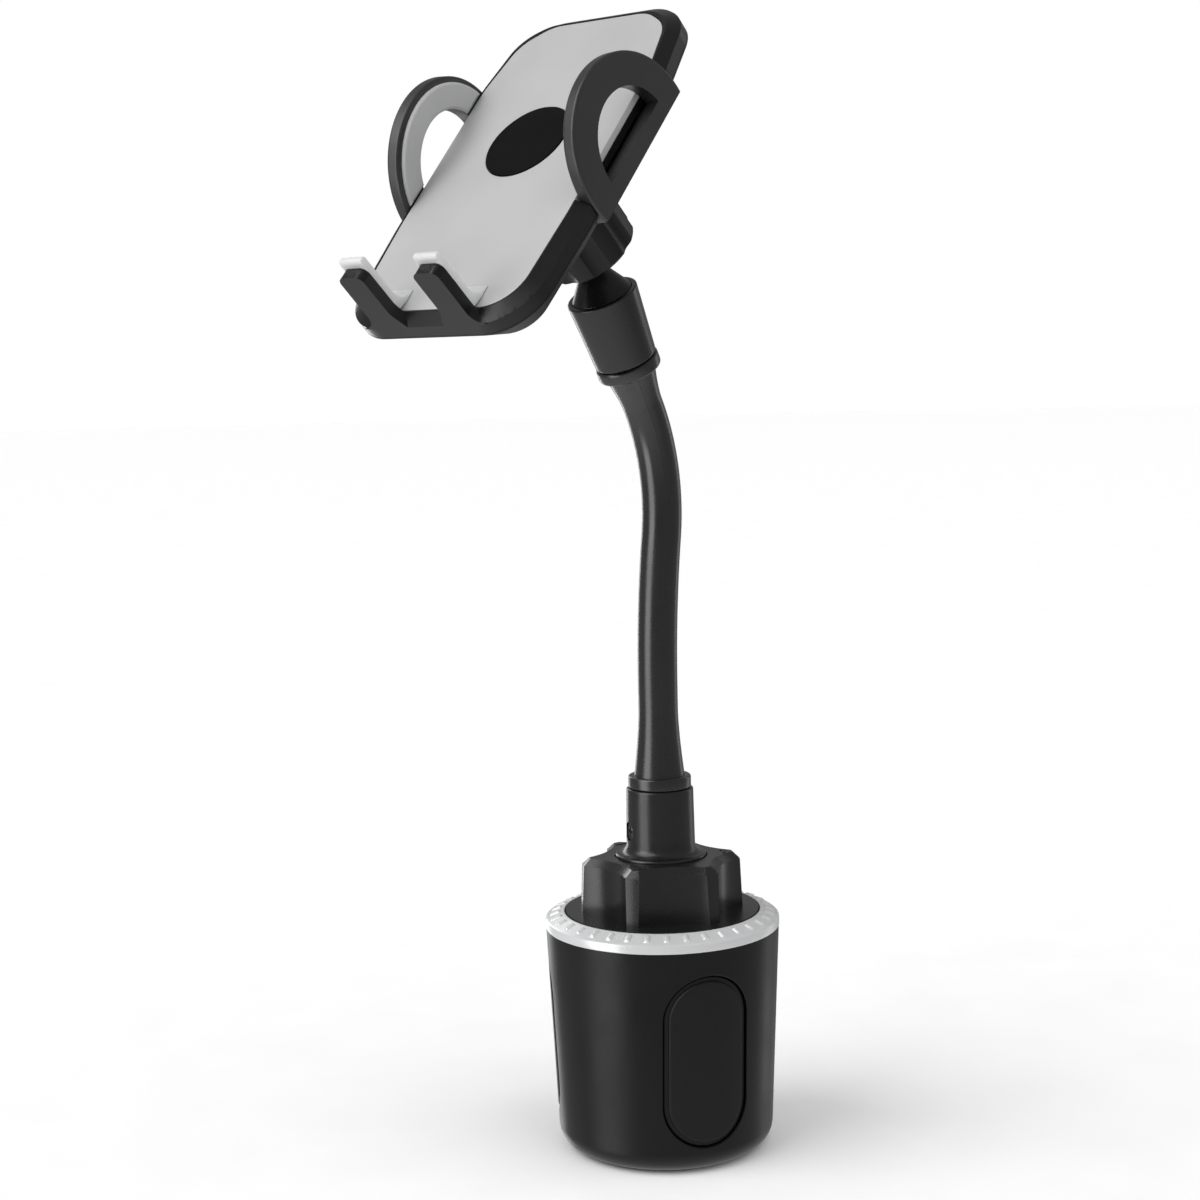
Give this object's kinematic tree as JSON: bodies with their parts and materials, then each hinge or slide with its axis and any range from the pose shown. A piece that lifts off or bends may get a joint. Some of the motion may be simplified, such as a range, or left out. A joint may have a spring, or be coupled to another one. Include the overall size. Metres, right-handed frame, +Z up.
{
  "type": "cup holder phone mount",
  "caption": "Phone mount with an expanding cup base turned by a hex knob, a bent gooseneck, a ball joint and a padded holder with sliding side arms and hook fingers.",
  "frame": {"origin": "centre of the cup's foot, on the surface it stands on", "axes": "+Z up along the cup's axis, -Y towards the user, whom the holder faces, +X to the user's right"},
  "size_m": [0.068, 0.1391, 0.3209],
  "materials": {
    "black_plastic": "fine matte moulding",
    "black_rubber": "soft matte rubber",
    "silver_trim": "satin silver coat",
    "grey_plate": "satin silver-grey paint",
    "dark_gloss": "satin black",
    "grey_soft": "soft grey pad",
    "clear_soft": "translucent white silicone",
    "steel": "zinc-plated",
    "pale_plastic": "natural nylon"
  },
  "bodies": {
    "base": {"cup_shell": "black_plastic", "trim_ring": "silver_trim", "guide_frame": "pale_plastic", "neck_post": "black_plastic", "neck_screw": "steel", "post_bolt": "steel", "gooseneck_sleeve": "black_rubber", "gooseneck_core": "steel"},
    "knob": {"hex_knob": "black_plastic", "cam_disc": "pale_plastic", "cam_screws": "steel"},
    "pad_rear": {"pad_carrier_rear": "black_plastic", "pad_grip_rear": "black_rubber"},
    "pad_left": {"pad_carrier_left": "black_plastic", "pad_grip_left": "black_rubber"},
    "pad_right": {"pad_carrier_right": "black_plastic", "pad_grip_right": "black_rubber"},
    "neck_top": {"stem_collar": "black_plastic"},
    "stud": {"ball_stud": "black_plastic"},
    "nut": {"lock_nut": "black_plastic"},
    "holder": {"front_plate": "grey_plate", "badge_disc": "dark_gloss", "front_bezel": "black_plastic", "rear_shell": "black_plastic", "shell_screws": "steel", "foot_pad_right": "clear_soft", "foot_pad_left": "clear_soft", "pinion_pin": "steel", "button_spring": "steel"},
    "arm_right": {"arm_right": "black_plastic", "arm_pad_right": "grey_soft"},
    "arm_left": {"arm_left": "black_plastic", "arm_pad_left": "grey_soft"},
    "pinion": {"pinion": "pale_plastic"},
    "button": {"release_button": "black_plastic"}
  },
  "joints": [
    {"name": "knob_turn", "type": "hinge", "parent": "base", "child": "knob", "pos_m": [0, 0, 0.0777], "axis": [0, 0, 1], "range_deg": [0, 120]},
    {"name": "pad_rear_slide", "type": "slide", "parent": "base", "child": "pad_rear", "axis": [0, 1, 0], "range_m": [0, 0.008]},
    {"name": "pad_left_slide", "type": "slide", "parent": "base", "child": "pad_left", "axis": [-0.866, -0.5, 0], "range_m": [0, 0.008]},
    {"name": "pad_right_slide", "type": "slide", "parent": "base", "child": "pad_right", "axis": [0.866, -0.5, 0], "range_m": [0, 0.008]},
    {"name": "neck_bend", "type": "hinge", "parent": "base", "child": "neck_top", "pos_m": [0, 0.0016, 0.166], "axis": [1, 0, 0], "range_deg": [-40, 40], "deforming": ["gooseneck_sleeve", "gooseneck_core"]},
    {"name": "head_pan", "type": "hinge", "parent": "neck_top", "child": "stud", "pos_m": [0, -0.03094, 0.26257], "axis": [0, -0.4894, 0.8721], "continuous": true},
    {"name": "head_tilt", "type": "hinge", "parent": "stud", "child": "nut", "pos_m": [0, -0.03094, 0.26257], "axis": [1, 0, 0], "range_deg": [-46, 9]},
    {"name": "holder_spin", "type": "hinge", "parent": "nut", "child": "holder", "pos_m": [0, -0.03094, 0.26257], "axis": [0, -0.7433, 0.669], "continuous": true},
    {"name": "arm_right_slide", "type": "slide", "parent": "holder", "child": "arm_right", "axis": [1, 0, 0], "range_m": [0, 0.018]},
    {"name": "arm_left_slide", "type": "slide", "parent": "holder", "child": "arm_left", "axis": [-1, 0, 0], "range_m": [0, 0.018]},
    {"name": "pinion_spin", "type": "hinge", "parent": "holder", "child": "pinion", "pos_m": [0, -0.05103, 0.28509], "axis": [0, -0.7433, 0.669], "range_deg": [-115, 0]},
    {"name": "release_press", "type": "slide", "parent": "holder", "child": "button", "axis": [0, -0.7433, 0.669], "range_m": [0, 0.002], "stiffness_N_per_m": 500, "deforming": ["button_spring"]}
  ],
  "couplings": [
    {"joint": "knob_turn", "follows": "pad_rear_slide", "rad_per_m": 261.8},
    {"joint": "pad_left_slide", "follows": "pad_rear_slide", "ratio": 1},
    {"joint": "pad_right_slide", "follows": "pad_rear_slide", "ratio": 1},
    {"joint": "arm_left_slide", "follows": "arm_right_slide", "ratio": 1},
    {"joint": "pinion_spin", "follows": "arm_right_slide", "rad_per_m": -111.11}
  ]
}
